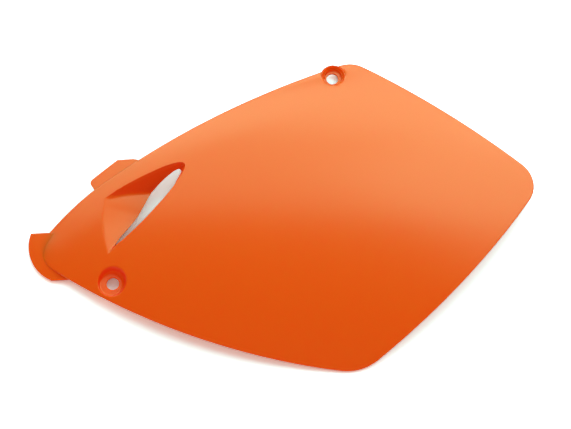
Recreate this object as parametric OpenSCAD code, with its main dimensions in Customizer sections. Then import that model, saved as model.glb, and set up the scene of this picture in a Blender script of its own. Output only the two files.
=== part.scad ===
// Side cover of an off-road motorcycle: one moulded plastic panel with a sunken, slotted scoop,
// two screw cups and two tabs. Millimetres. X runs from the nose to the rear corner, Z points
// outward from the machine, and the origin is on the resting plane under the middle of the panel.

/* [Outline] */
// Upper corner: centre x, centre y and radius of its rounding
top_corner = [57.5, 111.5, 19.5];
// Rear corner: centre x, centre y and radius of its rounding
rear_corner = [180.5, 18, 23];
// Lower corner: centre x, centre y and radius of its rounding
low_corner = [52, -92, 39.5];
// Nose: centre x, centre y and radius of its rounding
nose_corner = [-172.2, -31.7, 19.8];
// Shoulder above the nose: centre x, centre y and radius of its sweep
shoulder = [-79.5, -83, 121];
// Radius of the long upper edge
upper_edge_r = 1230; // [800:10:3000]
// Radius of the rear upper edge
rear_edge_r = 1265; // [700:5:3000]
// Radius of the rear lower edge
low_edge_r = 610; // [450:5:1500]
// Radius of the long lower edge
belly_edge_r = 525; // [400:5:1200]
// Radius of the short edge between nose and shoulder
nose_edge_r = 275; // [262:1:500]

/* [Skin] */
// Thickness of the moulded wall
wall = 2.5; // [1.8:0.1:4]
// Height of the top of the crown above the resting plane
crown_h = 37.7; // [30:0.1:45]
// Radius of the crown across the panel
crown_r = 330; // [250:5:600]
// Radius of the crown lengthwise, toward the rear
rear_r = 1650; // [900:10:4000]
// Radius of the crown lengthwise, toward the nose
nose_r = 700; // [500:10:1500]
// Turn of the crown against the length of the panel, in degrees
crown_turn = -3; // [-8:0.5:8]

/* [Screw cups] */
// Middle of the lower cup and its hole
low_cup_at = [-133.3, -61.5];
// Radius of the lower cup at its rim
low_cup_rim_r = 11.8; // [10:0.1:15]
// Middle of the upper cup and its hole
top_cup_at = [42.8, 116];
// Radius of the upper cup at its rim
top_cup_rim_r = 9.2; // [8.5:0.1:13]
// Radius of the flat floor of both cups
cup_floor_r = 7.4; // [6.5:0.1:9]
// Depth of the cup floor under the skin
cup_depth = 5; // [3:0.1:9]
// Thickness of the sloping cup walls
cup_wall = 2.6; // [1.1:0.1:3.5]
// Radius of the screw hole through a cup floor
hole_r = 4.9; // [3:0.1:6]

/* [Scoop] */
// Corner of the scoop nearest the upper tab
scoop_front = [-140.8, 6.7];
// Lower corner of the scoop
scoop_low = [-136.5, -38.7];
// Rear corner of the scoop
scoop_rear = [-73.6, 35.4];
// Deepest point of the scoop, seen from above
scoop_deep_at = [-104, 14.6];
// Depth of that point under the skin
scoop_depth = 12.5; // [8:0.5:18]
// Bow of the rim between the front and rear corners
scoop_upper_bow = 3.8; // [1:0.1:8]
// Bow of the rim between the front and low corners
scoop_left_bow = 2.6; // [0.5:0.1:5]
// Bow of the lip between the low and rear corners
scoop_lip_bow = 4.9; // [2:0.1:8]
// Length of rim kept closed at each end of the slit
slit_end = 8; // [4:0.5:14]
// Bow of the long inner edge of the slit toward the lip
slit_bow = 2.2; // [0.5:0.1:4]

/* [Tabs] */
// Middle of the round tongue under the nose
tongue_at = [-172, -28];
// Radius of the tongue
tongue_r = 31; // [27:0.1:34]
// Y positions where the upper and lower ends of the tongue are cut off
tongue_ends = [-18.4, -57];
// Width of tongue and tab hidden under the skin
tab_overlap = 11; // [6:0.5:16]
// Upper tab along the panel edge: start, corner, second corner, chamfer end and finish
upper_tab = [[-150.2, 14.7], [-155.2, 22.4], [-132.4, 40.3], [-119.1, 40.3], [-115.4, 39.3]];
// Radius that rounds the outer front corner of the upper tab
tab_corner_r = 2.5; // [0.5:0.5:5]

/* [Hidden] */
$fn = 360;
plastic = [0.91, 0.36, 0.05];
arc_steps = 12;
// how far one moulded feature sinks into the next so that they join
bite = 0.3;
// depth and half width of the block that the skin is cut from
block_deep = 75;
block_half = 175;

// height of the outer skin at a point seen from above
function along(p) = p[0]*cos(crown_turn) + p[1]*sin(crown_turn);
function across(p) = p[1]*cos(crown_turn) - p[0]*sin(crown_turn);
function long_r(p) = along(p) < 0 ? nose_r : rear_r;
function skin_z(p) = let (
    R = long_r(p),
    rho = R - crown_r + sqrt(crown_r*crown_r - pow(across(p), 2))
  ) crown_h - R + sqrt(rho*rho - pow(along(p), 2));
function on_skin(p) = [p[0], p[1], skin_z(p)];

function unit(v) = v/norm(v);
function xy(c) = [c[0], c[1]];
// centre of the arc of radius R that touches two corner circles from outside, travelling clockwise
function side_centre(a, b, R) = let (
    d = xy(b) - xy(a), L = norm(d), u = d/L,
    ra = R - a[2], rb = R - b[2],
    s = (ra*ra - rb*rb + L*L)/(2*L), h = sqrt(ra*ra - s*s)
  ) xy(a) + u*s + [u[1], -u[0]]*h;
function arc_between(c, r, p, q, n) = let (
    a0 = atan2(p[1] - c[1], p[0] - c[0]),
    a1 = atan2(q[1] - c[1], q[0] - c[0]),
    turn = a1 - a0 > 180 ? a1 - a0 - 360 : a1 - a0 < -180 ? a1 - a0 + 360 : a1 - a0
  ) [for (i = [0:n]) c + r*[cos(a0 + turn*i/n), sin(a0 + turn*i/n)]];
// arc from p to q that bows to the left of the way from p to q
function bowed(p, q, bow, n) = let (
    d = q - p, L = norm(d), b = abs(bow), r = L*L/(8*b) + b/2,
    c = (p + q)/2 - sign(bow)*[-d[1], d[0]]/L*(r - b)
  ) arc_between(c, r, p, q, n);

corners = [shoulder, top_corner, rear_corner, low_corner, nose_corner];
edge_radii = [upper_edge_r, rear_edge_r, low_edge_r, belly_edge_r, nose_edge_r];
edge_centres = [for (i = [0:4]) side_centre(corners[i], corners[(i + 1)%5], edge_radii[i])];
function leave(i) = xy(corners[i]) + corners[i][2]*unit(xy(corners[i]) - edge_centres[i]);
function arrive(i) = let (k = (i + 4)%5) xy(corners[i]) + corners[i][2]*unit(xy(corners[i]) - edge_centres[k]);
outline = [for (i = [0:4]) each concat(
    arc_between(xy(corners[i]), corners[i][2], arrive(i), leave(i), arc_steps - 3),
    [for (j = [1:arc_steps - 1])
      arc_between(edge_centres[i], edge_radii[i], leave(i), arrive((i + 1)%5), arc_steps)[j]])];

// rim of the scoop seen from above, counter-clockwise from its front corner
lip = bowed(scoop_rear, scoop_low, scoop_lip_bow, 9);
dent_side = bowed(scoop_rear, scoop_low, scoop_lip_bow - 1.4, 5);
rim_left = bowed(scoop_front, scoop_low, -scoop_left_bow, 4);
rim_upper = bowed(scoop_rear, scoop_front, -scoop_upper_bow, 6);
scoop_rim = concat(
    [for (i = [0:3]) rim_left[i]],
    [for (i = [5:-1:1]) dent_side[i]],
    [for (i = [0:5]) rim_upper[i]]);
deep = on_skin(scoop_deep_at) - [0, 0, scoop_depth];
scoop_drop = wall*1.25;

// the solid under the outer skin, made of a rear and a nose sector
module under_skin() {
  rear_sector(0, 0);
  nose_sector(0, 0);
}
module rear_sector(d, more) { crown_sector(rear_r, 81 - more, 9 + 2*more, d, more); }
module nose_sector(d, more) { crown_sector(nose_r, 90 - more, 20 + 2*more, d, more); }
// the solid under one sector of the skin lowered by d; more widens the block all round
module crown_sector(R, from, sweep, d, more) {
  rotate([0, 0, crown_turn]) translate([0, 0, crown_h - R]) rotate([90, 0, 0]) rotate([0, 0, from])
    rotate_extrude(angle = sweep) intersection() {
      translate([R - crown_r, 0]) circle(r = crown_r - d);
      translate([R - block_deep - 5*more, -block_half - 5*more])
        square([block_deep + 5*more + 5, 2*(block_half + 5*more)]);
    }
}
// the layer between two depths under the skin, inside a shape seen from above
module rear_layer(from, to) {
  difference() {
    intersection() { column() children(); rear_sector(from, 0); }
    rear_sector(to, 1);
  }
}
module nose_layer(from, to) {
  difference() {
    intersection() { column() children(); nose_sector(from, 0); }
    nose_sector(to, 1);
  }
}
module column() { translate([0, 0, -60]) linear_extrude(height = 120) children(); }
// the cone from the deepest point of the scoop through its rim, continued above the skin
module scoop_cone(grow) {
  n = len(scoop_rim);
  top = [for (p = scoop_rim) deep + grow*(on_skin(p) - deep)];
  polyhedron(
    points = concat([deep], top),
    faces = concat([[for (i = [n:-1:1]) i]], [for (i = [0:n - 1]) [0, i + 1, (i + 1)%n + 1]]));
}
module slit() {
  ends = [lip[0] + slit_end*unit(lip[9] - lip[0]), lip[9] + slit_end*unit(lip[0] - lip[9])];
  inner = bowed(scoop_deep_at, ends[1], slit_bow, 5);
  column() polygon(concat(inner, [for (i = [8:-1:1]) lip[i]], [ends[0]]));
}
// the hollow of a cup, or the plug round it when given a wall and the thickness under its floor
module cup(at, rim_r, side, under) {
  z = skin_z(at) - cup_depth - under;
  slope = (rim_r - cup_floor_r)/cup_depth;
  tall = cup_depth + 8;
  r = cup_floor_r + side - slope*under;
  translate([at[0], at[1], z]) cylinder(r1 = r, r2 = r + slope*tall, h = tall);
}
module cup_hole(at) {
  translate([at[0], at[1], skin_z(at) - cup_depth - wall - 5]) cylinder(r = hole_r, h = wall + 10);
}
module tongue_shape() {
  lo = tongue_ends[1];
  hi = tongue_ends[0];
  intersection() {
    difference() {
      translate(tongue_at) circle(r = tongue_r);
      translate(tongue_at) circle(r = nose_corner[2] - tab_overlap);
    }
    translate([tongue_at[0] - tongue_r - 1, lo]) square([tongue_r + 4, hi - lo]);
  }
}
module tab_shape() {
  a = upper_tab[0];
  inward = unit([upper_tab[4][1] - a[1], a[0] - upper_tab[4][0]])*tab_overlap;
  c = upper_tab[1];
  before = c + tab_corner_r*unit(a - c);
  after = c + tab_corner_r*unit(upper_tab[2] - c);
  polygon(concat([a + inward, a], bowed(before, after, 0.28*tab_corner_r, 3),
    [upper_tab[2], upper_tab[3], upper_tab[4], upper_tab[4] + inward]));
}

// the panel with its scoop, cups, tongue and tab, moulded in one
module side_cover() {
  color(plastic) difference() {
    union() {
      rear_layer(0, wall) polygon(outline);
      nose_layer(0, wall) polygon(outline);
      intersection() {
        union() {
          cup(low_cup_at, low_cup_rim_r, cup_wall, wall);
          cup(top_cup_at, top_cup_rim_r, cup_wall, wall);
          translate([0, 0, -scoop_drop]) scoop_cone(1.6);
        }
        under_skin();
      }
      nose_layer(wall - bite, 2*wall - bite) tongue_shape();
      nose_layer(wall - bite, 2*wall - bite) tab_shape();
    }
    cup(low_cup_at, low_cup_rim_r, 0, 0);
    cup(top_cup_at, top_cup_rim_r, 0, 0);
    cup_hole(low_cup_at);
    cup_hole(top_cup_at);
    scoop_cone(1.6);
    slit();
  }
}

side_cover();
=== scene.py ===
"""Side cover of an off-road motorcycle: one moulded plastic panel, dressed over its CAD solid.

The panel is drawn flat, ring by ring from its outline, then formed: every point is lifted to the
crown, and sunk where the scoop and the screw cups are. Lengths are millimetres until a point is
written to a mesh. X runs from the nose to the rear corner and Z points away from the machine.
"""
import math

import bmesh
import bpy
import numpy as np
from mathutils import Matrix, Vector


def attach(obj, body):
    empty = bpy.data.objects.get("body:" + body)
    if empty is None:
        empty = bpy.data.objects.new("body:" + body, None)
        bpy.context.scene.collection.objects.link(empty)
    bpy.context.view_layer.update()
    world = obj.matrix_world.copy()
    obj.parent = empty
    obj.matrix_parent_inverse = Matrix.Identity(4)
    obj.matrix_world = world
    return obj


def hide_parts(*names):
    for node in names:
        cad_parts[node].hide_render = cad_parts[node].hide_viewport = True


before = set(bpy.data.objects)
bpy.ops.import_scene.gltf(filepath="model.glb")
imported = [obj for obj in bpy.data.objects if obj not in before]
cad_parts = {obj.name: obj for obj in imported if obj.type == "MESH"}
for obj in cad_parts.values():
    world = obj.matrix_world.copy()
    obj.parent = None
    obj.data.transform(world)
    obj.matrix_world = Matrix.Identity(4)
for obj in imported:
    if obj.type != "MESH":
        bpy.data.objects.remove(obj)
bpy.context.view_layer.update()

MM = 0.001

# Sizes of the panel, as in the CAD source: corners as centre x, centre y and radius, and the radii
# of the long edges between them
SHOULDER = (-79.5, -83.0, 121.0)
TOP_CORNER = (57.5, 111.5, 19.5)
REAR_CORNER = (180.5, 18.0, 23.0)
LOW_CORNER = (52.0, -92.0, 39.5)
NOSE_CORNER = (-172.2, -31.7, 19.8)
CORNERS = (SHOULDER, TOP_CORNER, REAR_CORNER, LOW_CORNER, NOSE_CORNER)
EDGE_RADII = (1230.0, 1265.0, 610.0, 525.0, 275.0)

WALL = 2.5
CROWN_H = 37.7
CROWN_R = 330.0  # across the panel
REAR_R = 1650.0  # lengthwise, toward the rear
NOSE_R = 700.0  # lengthwise, toward the nose
CROWN_TURN = math.radians(-3.0)
EDGE_ROUND = 0.9  # rounding of the panel's outer edge
ROLL_LINE = [(-185, -12), (-165, 12), (-130, 36), (-90, 61), (-45, 84), (5, 106), (50, 124)]
ROLL_DROP = 2.2  # how far the skin turns down at that line
ROLL_WIDTH = 32.0

# Screw cups: the hole, the middle of the rim round it, and the radius of the rim
LOW_CUP = np.array([-133.3, -61.5])
LOW_RIM_AT = np.array([-133.3, -61.0])
LOW_RIM_R = 11.7
LOW_RIM_SOFT = 0.22
TOP_CUP = np.array([42.8, 116.0])
TOP_RIM_AT = np.array([43.5, 116.5])
TOP_RIM_R = 9.2
TOP_RIM_SOFT = 0.16
HOLE_R = 4.9
CUP_DEPTH = 5.0
CUP_SLOPE = 1.6  # fall of a cup's wall for each millimetre in from its rim
CUP_FLOOR_SOFT = 0.2
CUP_LEAST_SINK = 1.5
CUP_STAND = 0.8  # how far the upper cup's rim reaches past the wall inside it
BOSS_DROP = 1.0  # how far that rim's level lies below the bare skin over the hole
BOSS_LIP = 0.2  # how far the level goes on past the rim
BOSS_FALL = 2.4  # and how fast it falls from there
BOSS_REACH = 4.0
BOSS_SOFT = 0.5

# The scoop, from above: its upper rim from the front corner round the rear end, then the lip down
# to the low corner, then the left rim back to the front
UPPER_RIM = [(-140.8, 6.6), (-127.2, 15.2), (-112.4, 22.8), (-95.6, 30.4),
             (-85.2, 33.8), (-79.6, 34.3), (-76.8, 32.6)]
LIP_RIM = [(-76.8, 32.6), (-76.9, 29.8), (-78.8, 25.2), (-82.9, 18.2), (-88.6, 10.0), (-94.4, 2.9),
           (-99.6, -3.0), (-106.9, -11.0), (-115.3, -19.3), (-123.3, -26.5), (-131.2, -33.1), (-137.0, -39.2)]
LEFT_RIM = [(-137.0, -39.2), (-140.2, -27.5), (-142.2, -15.0), (-142.2, -3.0), (-140.8, 6.6)]
SCOOP_CREASE = np.array([-105.2, 16.3])  # where the upper wall and the ramp meet
SCOOP_DEPTH = 12.5  # of the upper wall at that place
RAMP_DEPTH = 14.9  # of the ramp at that place
RAMP_RUN_ON = 25  # the left rim goes on straight by so many of its steps, so that the ramp is one plane
LIP_STEEP = 1.7
WALL_SOFT = 2.8  # how softly the skin turns into the upper wall, the ramp and the lip
RAMP_SOFT = 0.45
LIP_SOFT = 0.7
CREASE_BLEND = (2.0, 0.45)  # largest blend radius, and its share of the two depths
LIP_BLEND = (0.8, 0.4)

# The slit: where the ramp and the upper wall end, and the part of the lip that it runs along
SLIT_RAMP = [(-134.4, -36.2), (-128.6, -25.8), (-122.9, -18.2), (-115.6, -7.6),
             (-111.0, 1.2), (-107.6, 8.2), (-104.6, 14.3)]
SLIT_WALL = [(-104.6, 14.3), (-98.4, 20.0), (-92.7, 24.6), (-87.0, 28.4), (-83.2, 30.2), (-81.2, 30.3)]
SLIT_END = [(-81.2, 30.3), (-80.4, 29.2), (-80.3, 27.4), (-81.6, 23.8), (-83.8, 18.9)]
SLIT_ALONG_LIP = (-35.0, 16.5)  # in y

# The thin tongue and tab, one step below the skin
TONGUE = np.array([-172.0, -28.0])
TONGUE_R = 31.0
TONGUE_ENDS = (-57.0, -18.4)  # in y
TONGUE_SWEEP = (math.pi * 0.4, math.pi * 1.75)
TONGUE_STEPS = 90
TONGUE_OVERLAP = 3.0  # how far it runs on past its middle, under the skin
TONGUE_LIFT = 0.14  # the tongue is flatter than the skin: how much less it falls toward the nose
LIFT_FROM = 4.0  # how far ahead of its middle that starts
TAB = [(-150.2, 14.7), (-155.2, 22.4), (-132.4, 40.3), (-119.1, 40.3), (-115.4, 39.3)]
TAB_OVERLAP = 11.0
TAB_CORNER = 3.4  # length of each side that the rounding of its outer corner takes
TAB_CORNER_BOW = 0.95
TAB_CORNER_STEPS = 6
BITE = 0.3  # how far a plate reaches into the skin above it
PLATE_GRID = 1.5
PLATE_MARGIN = 4.0

# How finely the sheet is divided: points round the outline, with more of them near the upper cup,
# narrow rings in from the outline, wider rings to the middle, and rings in each cup by radius
POINTS_ROUND = 360
CORNER_STEPS = 40
EDGE_STEPS = 80
FINE_POINTS = 4000
CROWDING = 6  # how many more points there are at the upper cup
CROWD_REACH = 13
EDGE_RINGS = (0.08, 0.16, 0.26, 0.4, 0.7, 1.1, 1.6, 2.2)
INNER_RINGS = 46
SCOOP_MARGIN = 5.0
SCOOP_CUTS = 3
REAR_END_REACH = 12.0
REAR_END_CUTS = 1
START_R = 0.1  # radius of a new circle, in metres, before its points are placed
LOW_DISC = 12.9
LOW_DISC_POINTS = 112
LOW_RINGS = (12.5, 12.2, 12.0, 11.85, 11.7, 11.55, 11.4, 11.2, 10.9, 10.6, 10.3, 10.0, 9.7, 9.4, 9.1,
             8.8, 8.5, 8.2, 7.9, 7.6, 7.3, 6.9, 6.4, 5.7, HOLE_R)
TOP_DISC = 9.65
TOP_DISC_POINTS = 96
TOP_RINGS = (9.5, 9.35, 9.2, 9.05, 8.9, 8.7, 8.45, 8.2, 7.9, 7.6, 7.3, 7.0, 6.7, 6.4, 6.1, 5.8, 5.5,
             5.2, HOLE_R)

# Cutting and finishing the sheet
CUTTER_HALF = 6.0
SLAB = 2.0  # the sheet's thickness while it is cut
SLAB_TOP = 0.9  # faces with their middles above this are the slab's top
JOIN_WITHIN = 0.004
ON_RIM = 0.2  # how near a cut edge lies to a rim's circle
PANEL_BEVEL = 0.35
PLATE_BEVEL = 0.5
BEVEL_SEGMENTS = 2
SHARP_ANGLE = math.radians(50)
SMOOTH_ANGLE = math.radians(38)

# Painted shade: a deeper red that stands for shade on the sunk walls and the lower cup's seat, from the slope
# of the surface
SLOPE_STEP = 0.4
SCOOP_PAINTED_SHADE = 0.6
SCOOP_PAINTED_SHADE_SLOPES = (0.55, 0.25)  # where it starts, and over how much slope it grows
CUP_PAINTED_SHADE_SLOPES = (0.9, 0.4)
LOW_CUP_REACH = 1.0
LOW_SEAT_INSET = 2.2
LOW_SEAT_PAINTED_SHADE = 0.35
TOP_CUP_REACH = 3.0
TOP_CUP_PAINTED_SHADE = 0.3


# Drawing in plan
def arc(centre, radius, start, end, steps):
    a0 = math.atan2(start[1] - centre[1], start[0] - centre[0])
    turn = math.atan2(end[1] - centre[1], end[0] - centre[0]) - a0
    turn -= 2 * math.pi * round(turn / (2 * math.pi))
    a = a0 + turn * np.linspace(0, 1, steps + 1)
    return np.stack([centre[0] + radius * np.cos(a), centre[1] + radius * np.sin(a)], 1)


def bowed(start, end, bow, steps):
    """An arc from start to end whose middle stands off the chord by bow, to the left of the way."""
    d = end - start
    length = np.hypot(*d)
    radius = length**2 / (8 * abs(bow)) + abs(bow) / 2
    left = math.copysign(1, bow) * np.array([-d[1], d[0]]) / length
    centre = (start + end) / 2 - left * (radius - abs(bow))
    return arc(centre, radius, start, end, steps)


def edge_centre(a, b, radius):
    """Centre of the arc that touches two corner circles, going clockwise round the panel."""
    ca, cb = np.array(a[:2]), np.array(b[:2])
    d = cb - ca
    length = np.hypot(*d)
    ra, rb = radius - a[2], radius - b[2]
    s = (ra**2 - rb**2 + length**2) / (2 * length)
    u = d / length
    return ca + u * s + np.array([u[1], -u[0]]) * math.sqrt(ra**2 - s**2)


def panel_outline():
    """Corners and long edges as one line, with the rim of the upper cup standing a little past it."""
    count = len(CORNERS)
    centres = [edge_centre(CORNERS[i], CORNERS[(i + 1) % count], EDGE_RADII[i]) for i in range(count)]

    def touch(i, centre):
        c = np.array(CORNERS[i][:2])
        return c + CORNERS[i][2] * (c - centre) / np.hypot(*(c - centre))

    line = []
    for i, corner in enumerate(CORNERS):
        arrive, leave = touch(i, centres[i - 1]), touch(i, centres[i])
        line.append(arc(corner[:2], corner[2], arrive, leave, CORNER_STEPS)[:-1])
        end = touch((i + 1) % count, centres[i])
        line.append(arc(centres[i], EDGE_RADII[i], leave, end, EDGE_STEPS)[:-1])
    line = evenly(np.concatenate(line)[::-1], FINE_POINTS)
    away = line - TOP_RIM_AT
    d = np.hypot(*away.T)
    line = TOP_RIM_AT + away * (np.maximum(d, TOP_RIM_R + CUP_STAND) / d)[:, None]
    return evenly(line, POINTS_ROUND, TOP_RIM_AT)


def evenly(line, count, closer_at=None):
    """Even points along a closed line, or points that crowd together round one place."""
    pts = np.concatenate([line, line[:1]])
    step = np.hypot(*np.diff(pts, axis=0).T)
    if closer_at is not None:
        away = np.hypot(*(pts[1:] - closer_at).T)
        step = step * (1 + CROWDING * np.exp(-(away / CROWD_REACH) ** 4))
    run = np.concatenate([[0], np.cumsum(step)])
    at = np.linspace(0, run[-1], count + 1)[:-1]
    return np.stack([np.interp(at, run, pts[:, k]) for k in (0, 1)], 1)


def distance_to(line, points, closed=True):
    """Distance from each point to a line."""
    a = line if closed else line[:-1]
    b = np.roll(line, -1, axis=0) if closed else line[1:]
    best = np.full(len(points), 1e9)
    for p, q in zip(a, b):
        d = q - p
        t = np.clip(((points - p) @ d) / (d @ d), 0, 1)
        foot = p + t[:, None] * d
        best = np.minimum(best, np.hypot(*(points - foot).T))
    return best


def inside(line, points):
    """Which points lie inside a closed line."""
    hit = np.zeros(len(points), bool)
    for (x0, y0), (x1, y1) in zip(line, np.roll(line, -1, axis=0)):
        if y0 == y1:
            continue
        crosses = (points[:, 1] >= min(y0, y1)) & (points[:, 1] < max(y0, y1))
        hit ^= crosses & (points[:, 0] < x0 + (points[:, 1] - y0) / (y1 - y0) * (x1 - x0))
    return hit


def smooth(points, steps=8):
    """A smooth line through a few points."""
    p = np.array(points, float)
    p = np.concatenate([[2 * p[0] - p[1]], p, [2 * p[-1] - p[-2]]])
    t = np.linspace(0, 1, steps + 1)[:-1, None]
    line = []
    for a, b, c, d in zip(p, p[1:], p[2:], p[3:]):
        square, cube = 2 * a - 5 * b + 4 * c - d, 3 * b - a - 3 * c + d
        line.append(0.5 * (2 * b + (c - a) * t + square * t**2 + cube * t**3))
    return np.concatenate(line + [p[-2:-1]])


def round_line(centre, radius, count):
    a = np.linspace(0, 2 * math.pi, count + 1)[:-1]
    return centre + radius * np.stack([np.cos(a), np.sin(a)], 1)


# The formed surface
def blend_max(a, b, r):
    h = np.clip(0.5 + 0.5 * (a - b) / r, 0, 1)
    return b + (a - b) * h + r * h * (1 - h)


def blend_min(a, b, r):
    return -blend_max(-a, -b, r)


def shallower(a, b, blend):
    """The lesser of two depths, blended by a radius that shrinks where both are small."""
    most, share = blend
    return blend_min(a, b, np.minimum(most, share * (a + b) + 1e-6))


def crown(points):
    """Height of the bare skin: one radius across, a long one to the rear, a shorter one to the nose."""
    c, s = math.cos(CROWN_TURN), math.sin(CROWN_TURN)
    u = points[:, 0] * c + points[:, 1] * s
    v = points[:, 1] * c - points[:, 0] * s
    length_r = np.where(u < 0, NOSE_R, REAR_R)
    rho = length_r - CROWN_R + np.sqrt(CROWN_R**2 - v**2)
    return CROWN_H - length_r + np.sqrt(rho**2 - u**2)


def upper_roll(points):
    """The skin turns down a little more toward the long upper edge."""
    near = np.clip(1 - distance_to(smooth(ROLL_LINE), points, False) / ROLL_WIDTH, 0, 1)
    return ROLL_DROP * near**2


def sink_cup(points, z, hole, rim_at, rim_r, soft):
    """Sinks the skin to a flat seat round a screw hole, by a wall that starts at the rim."""
    floor = crown(hole[None])[0] - CUP_DEPTH
    to_rim = rim_r - np.hypot(*(points - rim_at).T)
    rise = 1 - to_rim * CUP_SLOPE / np.maximum(z - floor, CUP_LEAST_SINK)
    rise = blend_min(rise, np.ones(len(points)), soft)
    rise = blend_max(rise, np.zeros(len(points)), CUP_FLOOR_SOFT)
    return floor + (z - floor) * rise


def top_cup_boss(points, z):
    """The upper cup's rim stays level out to the edge, where the skin round it falls away."""
    r = np.hypot(*(points - TOP_RIM_AT).T)
    level = crown(TOP_CUP[None])[0] - BOSS_DROP - np.maximum(r - TOP_RIM_R - BOSS_LIP, 0) * BOSS_FALL
    return np.where(r < TOP_RIM_R + BOSS_REACH, blend_max(z, level, BOSS_SOFT), z)


def scoop_sink(points):
    """How far the scoop sinks the skin: a long ramp from its left rim meets a steep upper wall."""
    upper, lip, left = smooth(UPPER_RIM), smooth(LIP_RIM), smooth(LEFT_RIM)
    ring = np.concatenate([upper[:-1], lip[:-1], left[:-1]])
    side = np.where(inside(ring, points), 1.0, -1.0)
    at_crease = SCOOP_CREASE[None]

    def slope_from(line, steep, soft):
        fall = side * distance_to(line, points, False) * steep
        return blend_max(fall, np.zeros(len(points)), soft)

    wall = slope_from(upper, SCOOP_DEPTH / distance_to(upper, at_crease, False)[0], WALL_SOFT)
    left = np.concatenate([left, left[-1:] + (left[-1] - left[-2]) * RAMP_RUN_ON])
    ramp = slope_from(left, RAMP_DEPTH / distance_to(left, at_crease, False)[0], RAMP_SOFT)
    lip_wall = slope_from(lip, LIP_STEEP, LIP_SOFT)
    return shallower(shallower(wall, ramp, CREASE_BLEND), lip_wall, LIP_BLEND)


def formed(points):
    z = crown(points) - upper_roll(points) - scoop_sink(points)
    z = sink_cup(points, z, LOW_CUP, LOW_RIM_AT, LOW_RIM_R, LOW_RIM_SOFT)
    return sink_cup(points, top_cup_boss(points, z), TOP_CUP, TOP_RIM_AT, TOP_RIM_R, TOP_RIM_SOFT)


def edge_drop(points, outline):
    """How far the rounded outer edge falls below the skin."""
    near = np.clip(EDGE_ROUND - distance_to(outline, points), 0, EDGE_ROUND)
    return EDGE_ROUND - np.sqrt(EDGE_ROUND**2 - near**2)


def painted_shade_share(points):
    """How much painted shade, a deeper red, each point takes: on steep sunk walls and the lower cup's seat.
    """
    along = formed(points + (SLOPE_STEP, 0)) - formed(points - (SLOPE_STEP, 0))
    across = formed(points + (0, SLOPE_STEP)) - formed(points - (0, SLOPE_STEP))
    slope = np.hypot(along, across) / (2 * SLOPE_STEP)
    start, growth = SCOOP_PAINTED_SHADE_SLOPES
    tone = SCOOP_PAINTED_SHADE * np.clip((slope - start) / growth, 0, 1)
    from_low = np.hypot(*(points - LOW_RIM_AT).T)
    in_low = from_low < LOW_RIM_R + LOW_CUP_REACH
    start, growth = CUP_PAINTED_SHADE_SLOPES
    tone[in_low] = np.clip((slope[in_low] - start) / growth, 0, 1)
    tone[from_low < LOW_RIM_R - LOW_SEAT_INSET] = LOW_SEAT_PAINTED_SHADE
    tone[np.hypot(*(points - TOP_RIM_AT).T) < TOP_RIM_R + TOP_CUP_REACH] *= TOP_CUP_PAINTED_SHADE
    return tone


# Mesh helpers
def plan_of(mesh):
    co = np.zeros(len(mesh.vertices) * 3)
    mesh.vertices.foreach_get("co", co)
    return co.reshape(-1, 3) / MM


def write_points(mesh, co):
    mesh.vertices.foreach_set("co", (co * MM).ravel())
    mesh.update()


def use(obj):
    bpy.ops.object.select_all(action="DESELECT")
    obj.select_set(True)
    bpy.context.view_layer.objects.active = obj


def edit(obj, select="FACE"):
    use(obj)
    bpy.ops.object.mode_set(mode="EDIT")
    bpy.ops.mesh.select_mode(type=select)


def pick_faces(obj, wanted):
    """Selects the faces whose middles in plan satisfy wanted(points)."""
    bpy.ops.mesh.select_all(action="DESELECT")
    bm = bmesh.from_edit_mesh(obj.data)
    middles = np.array([f.calc_center_median()[:2] for f in bm.faces]) / MM
    for f, yes in zip(bm.faces, wanted(middles)):
        if yes:
            f.select_set(True)
    bmesh.update_edit_mesh(obj.data)


def refine(obj, wanted, cuts):
    edit(obj)
    pick_faces(obj, wanted)
    bpy.ops.mesh.subdivide(number_cuts=cuts)
    bpy.ops.object.mode_set(mode="OBJECT")


def cutter(name, line):
    """An upright prism on a closed line, tall enough to pass through a flat sheet."""
    bpy.ops.mesh.primitive_circle_add(vertices=len(line), radius=START_R, fill_type="NGON")
    tool = bpy.context.object
    tool.name = name
    co = plan_of(tool.data)
    turn_right = np.cross(co[0, :2], co[1, :2]) > 0
    run_right = np.sum(np.cross(line, np.roll(line, -1, axis=0))) > 0
    co[:, :2] = line if turn_right == run_right else line[::-1]
    co[:, 2] = -CUTTER_HALF
    write_points(tool.data, co)
    edit(tool)
    bpy.ops.mesh.select_all(action="SELECT")
    bpy.ops.mesh.extrude_region_move(TRANSFORM_OT_translate={"value": (0, 0, 2 * CUTTER_HALF * MM)})
    bpy.ops.mesh.select_all(action="SELECT")
    bpy.ops.mesh.normals_make_consistent(inside=False)
    bpy.ops.object.mode_set(mode="OBJECT")
    return tool


def cut_flat(sheet, tools, operation):
    """Cuts a flat sheet along upright prisms: thickened for the cut, then thinned to its top again."""
    use(sheet)
    slab = sheet.modifiers.new("slab", "SOLIDIFY")
    slab.thickness = SLAB * MM
    slab.offset = 0
    bpy.ops.object.modifier_apply(modifier=slab.name)
    for tool in tools:
        cut = sheet.modifiers.new("cut", "BOOLEAN")
        cut.operation = operation
        cut.solver = "EXACT"
        cut.object = tool
        bpy.ops.object.modifier_apply(modifier=cut.name)
        bpy.data.objects.remove(tool)
    edit(sheet)
    bpy.ops.mesh.select_all(action="DESELECT")
    bm = bmesh.from_edit_mesh(sheet.data)
    for f in bm.faces:
        f.select_set(f.calc_center_median().z < SLAB_TOP * MM)
    bmesh.update_edit_mesh(sheet.data)
    bpy.ops.mesh.delete(type="FACE")
    bpy.ops.mesh.select_all(action="SELECT")
    bpy.ops.mesh.remove_doubles(threshold=JOIN_WITHIN * MM)
    bpy.ops.object.mode_set(mode="OBJECT")
    co = plan_of(sheet.data)
    co[:, 2] = 0
    write_points(sheet.data, co)


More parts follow.
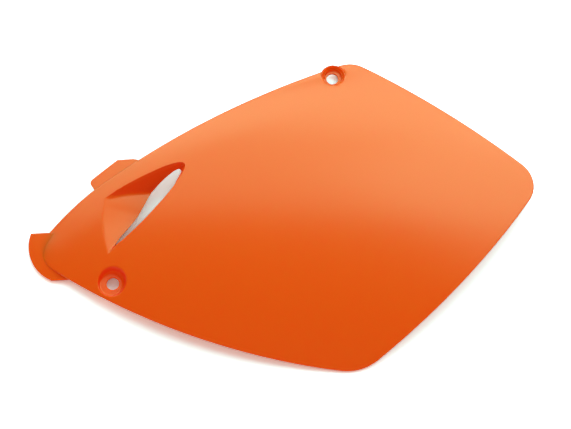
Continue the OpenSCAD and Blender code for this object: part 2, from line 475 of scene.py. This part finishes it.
def wall_and_edges(obj, bevel):
    """Gives the formed sheet its wall, and breaks the edges that are left sharp."""
    use(obj)
    wall = obj.modifiers.new("wall", "SOLIDIFY")
    wall.thickness = WALL * MM
    wall.offset = -1
    bpy.ops.object.modifier_apply(modifier=wall.name)
    soft = obj.modifiers.new("broken edges", "BEVEL")
    soft.width = bevel * MM
    soft.segments = BEVEL_SEGMENTS
    soft.limit_method = "ANGLE"
    soft.angle_limit = SHARP_ANGLE
    bpy.ops.object.modifier_apply(modifier=soft.name)
    bpy.ops.object.shade_smooth_by_angle(angle=SMOOTH_ANGLE)


# The panel
def lay_out_panel(outline):
    """A flat sheet: the outline, narrow rings that follow it, then wider rings to the middle."""
    bpy.ops.mesh.primitive_circle_add(vertices=POINTS_ROUND, radius=START_R, fill_type="NGON")
    panel = bpy.context.object
    panel.name = "side_cover_panel"
    co = np.zeros((POINTS_ROUND, 3))
    co[:, :2] = outline
    ring = plan_of(panel.data)
    if np.cross(ring[0, :2], ring[1, :2]) < 0:
        co = co[::-1]
    write_points(panel.data, co)
    edit(panel)
    bpy.ops.mesh.select_all(action="SELECT")
    for width in EDGE_RINGS:
        bpy.ops.mesh.inset(thickness=width * MM, depth=0, use_even_offset=True)
    for k in range(INNER_RINGS, 1, -1):
        bpy.ops.mesh.extrude_region()
        shrink = (k - 1) / k
        bpy.ops.transform.resize(value=(shrink, shrink, 1), center_override=(0, 0, 0))
    bpy.ops.mesh.merge(type="CENTER")
    bpy.ops.object.mode_set(mode="OBJECT")
    return panel


def rings_in(panel, rim_at, rim_r, hole, outer, radii):
    """Runs narrow rings from the edge of a round opening in to the screw hole, shifting to its middle."""
    edit(panel, "EDGE")
    bpy.ops.mesh.select_all(action="DESELECT")
    bm = bmesh.from_edit_mesh(panel.data)
    for e in bm.edges:
        ends = np.array([v.co[:2] for v in e.verts]) / MM
        on_rim = np.all(np.abs(np.hypot(*(ends - rim_at).T) - outer) < ON_RIM)
        e.select_set(bool(e.is_boundary and on_rim))
    bmesh.update_edit_mesh(panel.data)
    last, at = outer, rim_at
    for r in radii:
        bpy.ops.mesh.extrude_edges_move()
        s = r / last
        bpy.ops.transform.resize(value=(s, s, 1), center_override=(at[0] * MM, at[1] * MM, 0))
        t = min(max((r - HOLE_R) / (rim_r - HOLE_R), 0), 1)
        goal = hole + (rim_at - hole) * t
        bpy.ops.transform.translate(value=((goal[0] - at[0]) * MM, (goal[1] - at[1]) * MM, 0))
        last, at = r, goal
    bpy.ops.object.mode_set(mode="OBJECT")


def slit_line():
    """The slit as a closed line: ramp side, wall side, rounded rear end, then back along the lip."""
    lip = smooth(LIP_RIM)
    low, high = SLIT_ALONG_LIP
    along_lip = lip[(lip[:, 1] < high) & (lip[:, 1] > low)]
    return np.concatenate([smooth(SLIT_RAMP)[:-1], smooth(SLIT_WALL)[:-1], smooth(SLIT_END), along_lip])


def near_scoop(points):
    ring = np.concatenate([smooth(rim, 2)[:-1] for rim in (UPPER_RIM, LIP_RIM, LEFT_RIM)])
    return inside(ring, points) | (distance_to(ring, points) < SCOOP_MARGIN)


def near_rear_end(points):
    return np.hypot(*(points - np.array(LIP_RIM[0])).T) < REAR_END_REACH


def build_panel():
    """The sheet is cut while it is flat, then formed and given its wall."""
    outline = panel_outline()
    panel = lay_out_panel(outline)
    refine(panel, near_scoop, SCOOP_CUTS)
    refine(panel, near_rear_end, REAR_END_CUTS)
    cut_flat(panel, [cutter("slit", slit_line()),
                     cutter("low_cup", round_line(LOW_RIM_AT, LOW_DISC, LOW_DISC_POINTS)),
                     cutter("top_cup", round_line(TOP_RIM_AT, TOP_DISC, TOP_DISC_POINTS))], "DIFFERENCE")
    rings_in(panel, LOW_RIM_AT, LOW_RIM_R, LOW_CUP, LOW_DISC, LOW_RINGS)
    rings_in(panel, TOP_RIM_AT, TOP_RIM_R, TOP_CUP, TOP_DISC, TOP_RINGS)
    co = plan_of(panel.data)
    plan = co[:, :2]
    # Painted shade: each point's share of the deeper red that stands for shade is kept on the mesh
    painted_shade = panel.data.attributes.new("painted_shade", "FLOAT", "POINT")
    painted_shade.data.foreach_set("value", painted_shade_share(plan).astype(np.float32))
    co[:, 2] = formed(plan) - edge_drop(plan, outline)
    write_points(panel.data, co)
    wall_and_edges(panel, PANEL_BEVEL)
    return panel


# The tongue and the tab
def tongue_line():
    a = np.linspace(*TONGUE_SWEEP, TONGUE_STEPS)
    ring = TONGUE + TONGUE_R * np.stack([np.cos(a), np.sin(a)], 1)
    low, high = TONGUE_ENDS
    inner = TONGUE[0] + TONGUE_OVERLAP
    ring = ring[(ring[:, 1] > low) & (ring[:, 1] < high) & (ring[:, 0] < inner)]
    return np.concatenate([[[inner, high], [ring[0, 0], high]], ring, [[ring[-1, 0], low], [inner, low]]])


def tab_line():
    start, corner, *rest = [np.array(p) for p in TAB]
    end = rest[-1]
    inward = np.array([end[1] - start[1], start[0] - end[0]])
    inward = inward / np.hypot(*inward) * TAB_OVERLAP
    before = corner + TAB_CORNER * (start - corner) / np.hypot(*(start - corner))
    after = corner + TAB_CORNER * (rest[0] - corner) / np.hypot(*(rest[0] - corner))
    bend = bowed(before, after, TAB_CORNER_BOW, TAB_CORNER_STEPS)
    return np.concatenate([[start + inward, start], bend, rest, [end + inward]])


def hidden_plate(name, line, lift=0.0):
    """A thin plate one step below the skin, cut to a line from an even grid and formed like the skin."""
    low, high = line.min(0), line.max(0)
    size = high - low + PLATE_MARGIN
    cells = [int(length / PLATE_GRID) for length in size]
    bpy.ops.mesh.primitive_grid_add(x_subdivisions=cells[0], y_subdivisions=cells[1], size=1)
    plate = bpy.context.object
    plate.name = name
    co = plan_of(plate.data)
    co[:, :2] = (low + high) / 2 + co[:, :2] * MM * size
    write_points(plate.data, co)
    cut_flat(plate, [cutter(name + "_outline", line)], "INTERSECT")
    co = plan_of(plate.data)
    toward_nose = np.maximum(TONGUE[0] - LIFT_FROM - co[:, 0], 0)
    co[:, 2] = crown(co[:, :2]) - WALL + BITE + lift * toward_nose
    write_points(plate.data, co)
    wall_and_edges(plate, PLATE_BEVEL)
    return plate


# Finish
DARK_ORANGE = (0.90, 0.111, 0.0014)
LIGHT_ORANGE = (0.91, 0.113, 0.0015)
# Painted shade: the deeper red mixed in on the sunk walls and the lower cup's seat
PAINTED_SHADE_ORANGE = (0.92, 0.041, 0.001)
ROUGHNESS = 0.28
ROUGHNESS_CHANGE = 0.01
SHEEN_TINT = (1.0, 0.86, 0.5)
LIGHT_WITHIN = 0.4  # share of light that enters the plastic
LIGHT_WITHIN_REACH = 0.0015
LIGHT_WITHIN_COLOURS = (1.0, 0.08, 0.02)
GRAIN_SCALE = 900
GRAIN_DEPTH = 0.00002
GRAIN_STRENGTH = 0.25
FLOW_SCALE = 6


def moulded_grain():
    """Fine even grain, with the faint changes of tone and gloss of a moulded surface."""
    group = bpy.data.node_groups.new("moulded_grain", "ShaderNodeTree")
    for name, kind, way in (("Vector", "NodeSocketVector", "INPUT"),
                            ("Grain Scale", "NodeSocketFloat", "INPUT"),
                            ("Roughness", "NodeSocketFloat", "INPUT"),
                            ("Roughness Out", "NodeSocketFloat", "OUTPUT"),
                            ("Height", "NodeSocketFloat", "OUTPUT"),
                            ("Tone", "NodeSocketFloat", "OUTPUT")):
        group.interface.new_socket(name=name, in_out=way, socket_type=kind)
    nodes, links = group.nodes, group.links
    given, out = nodes.new("NodeGroupInput"), nodes.new("NodeGroupOutput")
    grain = nodes.new("ShaderNodeTexNoise")
    grain.inputs["Detail"].default_value = 3
    links.new(given.outputs["Vector"], grain.inputs["Vector"])
    links.new(given.outputs["Grain Scale"], grain.inputs["Scale"])
    flow = nodes.new("ShaderNodeTexNoise")
    flow.inputs["Scale"].default_value = FLOW_SCALE
    flow.inputs["Detail"].default_value = 0
    links.new(given.outputs["Vector"], flow.inputs["Vector"])
    gloss = nodes.new("ShaderNodeMapRange")
    gloss.inputs["To Min"].default_value = -ROUGHNESS_CHANGE
    gloss.inputs["To Max"].default_value = ROUGHNESS_CHANGE
    links.new(flow.outputs["Fac"], gloss.inputs["Value"])
    add = nodes.new("ShaderNodeMath")
    links.new(given.outputs["Roughness"], add.inputs[0])
    links.new(gloss.outputs["Result"], add.inputs[1])
    links.new(add.outputs["Value"], out.inputs["Roughness Out"])
    links.new(grain.outputs["Fac"], out.inputs["Height"])
    links.new(flow.outputs["Fac"], out.inputs["Tone"])
    return group


def plastic(name, dark, light, shade_orange):
    """Glossy coloured plastic that light enters a little; a painted shade, a deeper red, is mixed in on its
    steep sunk walls.
    """
    mat = bpy.data.materials.new(name)
    mat.use_nodes = True
    nodes, links = mat.node_tree.nodes, mat.node_tree.links
    bsdf = nodes["Principled BSDF"]
    bsdf.inputs["IOR"].default_value = 1.5
    bsdf.inputs["Specular IOR Level"].default_value = 1.0
    bsdf.inputs["Specular Tint"].default_value = (*SHEEN_TINT, 1)
    bsdf.inputs["Subsurface Weight"].default_value = LIGHT_WITHIN
    bsdf.inputs["Subsurface Radius"].default_value = LIGHT_WITHIN_COLOURS
    bsdf.inputs["Subsurface Scale"].default_value = LIGHT_WITHIN_REACH
    place = nodes.new("ShaderNodeTexCoord")
    grain = nodes.new("ShaderNodeGroup")
    grain.node_tree = moulded_grain()
    grain.inputs["Grain Scale"].default_value = GRAIN_SCALE
    grain.inputs["Roughness"].default_value = ROUGHNESS
    links.new(place.outputs["Object"], grain.inputs["Vector"])
    tone = nodes.new("ShaderNodeMix")
    tone.data_type = "RGBA"
    tone.inputs["A"].default_value = (*dark, 1)
    tone.inputs["B"].default_value = (*light, 1)
    links.new(grain.outputs["Tone"], tone.inputs["Factor"])
    # Painted shade: the mesh's share of shade mixes the deeper red into the base colour
    painted_shade_node = nodes.new("ShaderNodeAttribute")
    painted_shade_node.attribute_name = "painted_shade"
    painted_shade_mix = nodes.new("ShaderNodeMix")
    painted_shade_mix.data_type = "RGBA"
    painted_shade_mix.inputs["B"].default_value = (*shade_orange, 1)
    links.new(painted_shade_node.outputs["Fac"], painted_shade_mix.inputs["Factor"])
    links.new(tone.outputs["Result"], painted_shade_mix.inputs["A"])
    links.new(painted_shade_mix.outputs["Result"], bsdf.inputs["Base Color"])
    links.new(grain.outputs["Roughness Out"], bsdf.inputs["Roughness"])
    bump = nodes.new("ShaderNodeBump")
    bump.inputs["Strength"].default_value = GRAIN_STRENGTH
    bump.inputs["Distance"].default_value = GRAIN_DEPTH
    links.new(grain.outputs["Height"], bump.inputs["Height"])
    links.new(bump.outputs["Normal"], bsdf.inputs["Normal"])
    return mat


panel = build_panel()
tongue = hidden_plate("nose_tongue", tongue_line(), TONGUE_LIFT)
tab = hidden_plate("upper_tab", tab_line())
outer_face = plastic("orange_plastic", DARK_ORANGE, LIGHT_ORANGE, PAINTED_SHADE_ORANGE)

bpy.ops.object.select_all(action="DESELECT")
for piece in (tongue, tab, panel):
    piece.select_set(True)
bpy.context.view_layer.objects.active = panel
bpy.ops.object.join()
panel.data.materials.clear()
panel.data.materials.append(outer_face)
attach(panel, "root")
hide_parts("side_cover")


# Floor, light and camera, in metres
FLOOR_RISE = np.array([0.018, -0.010])  # along x and y
FLOOR_CLEARANCE = 0.2  # millimetres under the panel's lowest point
FLOOR_SIZE = 4.0
FLOOR_GREY = 0.86
FLOOR_ROUGHNESS = 0.9
FLOOR_SEEN = (1.42, 1.86, 2.0)  # as the camera sees it

COOL = (0.53, 1.0, 0.95)  # the lamps above the panel
WARM = (1.0, 0.56, 0.47)  # the room, and the reflector on the low side
ROOM_STRENGTH = 0.46
ROOM_IN_REFLECTIONS = 0.03

LENS = 90
SENSOR = 36
ELEVATION = math.radians(72)
CAMERA_DISTANCE = 1.142
AIM = Vector((0.0038, -0.0144, 0.0187))
AIM_RAISED = 0.0084


def pale_floor():
    """The floor that the photographed panel lies on: it meets the low edge and leaves the nose clear."""
    points = plan_of(panel.data)
    height = np.min(points[:, 2] - points[:, :2] @ FLOOR_RISE) - FLOOR_CLEARANCE
    bpy.ops.mesh.primitive_plane_add(size=FLOOR_SIZE, location=(0, 0, height * MM))
    floor = bpy.context.object
    floor.name = "floor"
    floor.rotation_mode = "QUATERNION"
    floor.rotation_quaternion = Vector((-FLOOR_RISE[0], -FLOOR_RISE[1], 1)).to_track_quat("Z", "Y")
    mat = bpy.data.materials.new("pale_floor")
    mat.use_nodes = True
    nodes, links = mat.node_tree.nodes, mat.node_tree.links
    bsdf = nodes["Principled BSDF"]
    bsdf.inputs["Base Color"].default_value = (FLOOR_GREY, FLOOR_GREY, FLOOR_GREY, 1)
    bsdf.inputs["Roughness"].default_value = FLOOR_ROUGHNESS
    bsdf.inputs["Specular IOR Level"].default_value = 0.1
    # A studio sweep is lit to pure white, so the camera sees a brighter floor than the panel does.
    # From below it sees through the floor, to the back of the panel.
    seen = nodes.new("ShaderNodeLightPath")
    bright = nodes.new("ShaderNodeBsdfDiffuse")
    bright.inputs["Color"].default_value = (*FLOOR_SEEN, 1)
    side = nodes.new("ShaderNodeNewGeometry")
    clear_below = nodes.new("ShaderNodeBsdfTransparent")
    from_below = nodes.new("ShaderNodeMixShader")
    links.new(side.outputs["Backfacing"], from_below.inputs["Fac"])
    links.new(bright.outputs["BSDF"], from_below.inputs[1])
    links.new(clear_below.outputs["BSDF"], from_below.inputs[2])
    mix = nodes.new("ShaderNodeMixShader")
    links.new(seen.outputs["Is Camera Ray"], mix.inputs["Fac"])
    links.new(bsdf.outputs["BSDF"], mix.inputs[1])
    links.new(from_below.outputs["Shader"], mix.inputs[2])
    links.new(mix.outputs["Shader"], nodes["Material Output"].inputs["Surface"])
    floor.data.materials.append(mat)


def softbox(name, away, distance, size, watts, colour):
    """A rectangular lamp in a direction from the panel, turned to face it."""
    direction = Vector(away).normalized()
    bpy.ops.object.light_add(type="AREA", location=direction * distance)
    lamp = bpy.context.object
    lamp.name = name
    lamp.data.shape = "RECTANGLE"
    lamp.data.size = size[0]
    lamp.data.size_y = size[1]
    lamp.data.energy = watts
    lamp.data.color = colour
    lamp.rotation_mode = "QUATERNION"
    lamp.rotation_quaternion = direction.to_track_quat("Z", "Y")
    return lamp


def plain_world():
    """A soft room light, darker in reflections, and a white background for the camera."""
    world = bpy.data.worlds.new("studio")
    world.use_nodes = True
    bpy.context.scene.world = world
    nodes, links = world.node_tree.nodes, world.node_tree.links
    room = nodes["Background"]
    room.inputs["Color"].default_value = (*WARM, 1)
    seen = nodes.new("ShaderNodeLightPath")
    dim = nodes.new("ShaderNodeMapRange")
    dim.inputs["To Min"].default_value = ROOM_STRENGTH
    dim.inputs["To Max"].default_value = ROOM_IN_REFLECTIONS
    links.new(seen.outputs["Is Glossy Ray"], dim.inputs["Value"])
    links.new(dim.outputs["Result"], room.inputs["Strength"])
    white = nodes.new("ShaderNodeBackground")
    white.inputs["Strength"].default_value = 1
    mix = nodes.new("ShaderNodeMixShader")
    links.new(seen.outputs["Is Camera Ray"], mix.inputs["Fac"])
    links.new(room.outputs["Background"], mix.inputs[1])
    links.new(white.outputs["Background"], mix.inputs[2])
    links.new(mix.outputs["Shader"], nodes["World Output"].inputs["Surface"])


def photo_camera():
    """A long lens that looks down on the panel, a little from its low side."""
    back = Vector((0, -math.cos(ELEVATION), math.sin(ELEVATION)))
    up = Vector((0, math.sin(ELEVATION), math.cos(ELEVATION)))
    bpy.ops.object.camera_add(location=AIM + up * AIM_RAISED + back * CAMERA_DISTANCE)
    camera = bpy.context.object
    camera.name = "camera"
    camera.rotation_mode = "QUATERNION"
    camera.rotation_quaternion = back.to_track_quat("Z", "Y")
    camera.data.lens = LENS
    camera.data.sensor_width = SENSOR
    camera.data.clip_start = 0.05
    camera.data.clip_end = 30
    bpy.context.scene.camera = camera


pale_floor()
plain_world()
softbox("main_softbox", (0.05, 1.0, 1.0), 1.6, (4.0, 1.9), 34, COOL)
softbox("side_softbox", (0.85, 0.5, 1.0), 1.6, (1.5, 1.4), 7.0, COOL)
softbox("back_softbox", (0.0, 1.0, 0.58), 1.55, (2.8, 0.86), 10, COOL)
front_fill = softbox("front_fill", (-0.1, -1.0, 0.9), 1.6, (2.4, 1.2), 7.6, WARM)
front_fill.visible_glossy = False  # a matt reflector, without a highlight of its own
photo_camera()
bpy.context.scene.view_settings.view_transform = "Standard"
